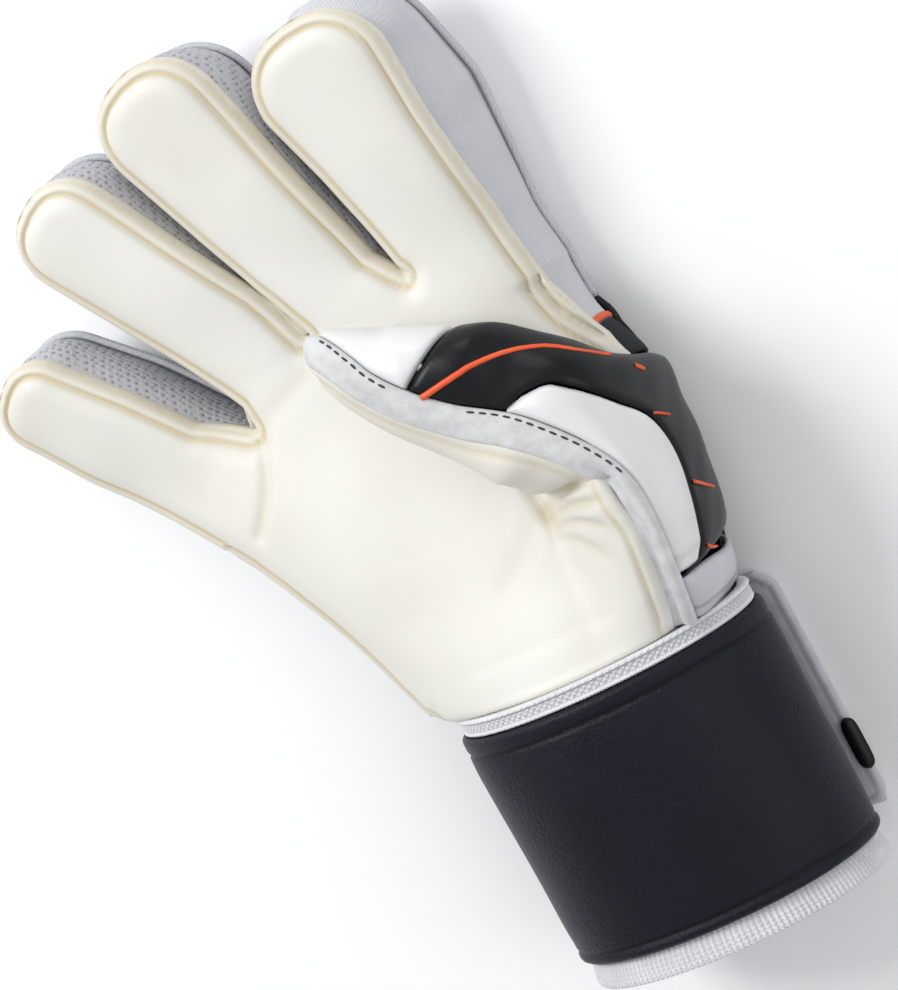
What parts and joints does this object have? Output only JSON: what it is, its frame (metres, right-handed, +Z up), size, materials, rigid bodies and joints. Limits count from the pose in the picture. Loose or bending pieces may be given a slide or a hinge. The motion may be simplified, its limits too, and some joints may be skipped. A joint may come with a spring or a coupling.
{
  "type": "goalkeeper glove",
  "caption": "Goalkeeper glove for the right hand with a foam latex palm, mesh finger sides, panelled thumb folded over the palm, knitted cuff and wrist strap.",
  "frame": {"origin": "on the surface that the glove lies on, under the middle of the whole glove", "axes": "+Z up out of the palm, +Y from the open cuff to the fingertips, +X to the thumb's side"},
  "size_m": [0.1726, 0.282, 0.0669],
  "materials": {
    "latex": "matte foam latex",
    "mesh": "woven mesh",
    "cloth": "plain cloth",
    "black_panel": "satin coated cloth",
    "white_panel": "satin coated cloth",
    "felt": "felt",
    "knit": "rib knit",
    "strap": "fine grained coated cloth",
    "tab": "matte"
  },
  "bodies": {
    "root": {"palm_latex": "latex", "thumb_latex": "latex", "gusset_little_outer": "mesh", "gusset_little_ring": "mesh", "gusset_ring_middle": "mesh", "gusset_middle_index": "mesh", "gusset_index_outer": "mesh", "finger_back_little": "cloth", "finger_back_ring": "cloth", "finger_back_middle": "cloth", "finger_back_index": "cloth", "backhand_panel": "black_panel", "thumb_tip_panel": "white_panel", "thumb_black_panel": "black_panel", "thumb_base_panel": "white_panel", "thumb_edge_binding": "felt", "wrist_side_fabric": "cloth", "cuff_knit": "knit", "wrist_binding": "knit", "wrist_strap": "strap", "strap_tail": "cloth", "pull_tab": "tab"}
  },
  "joints": []
}
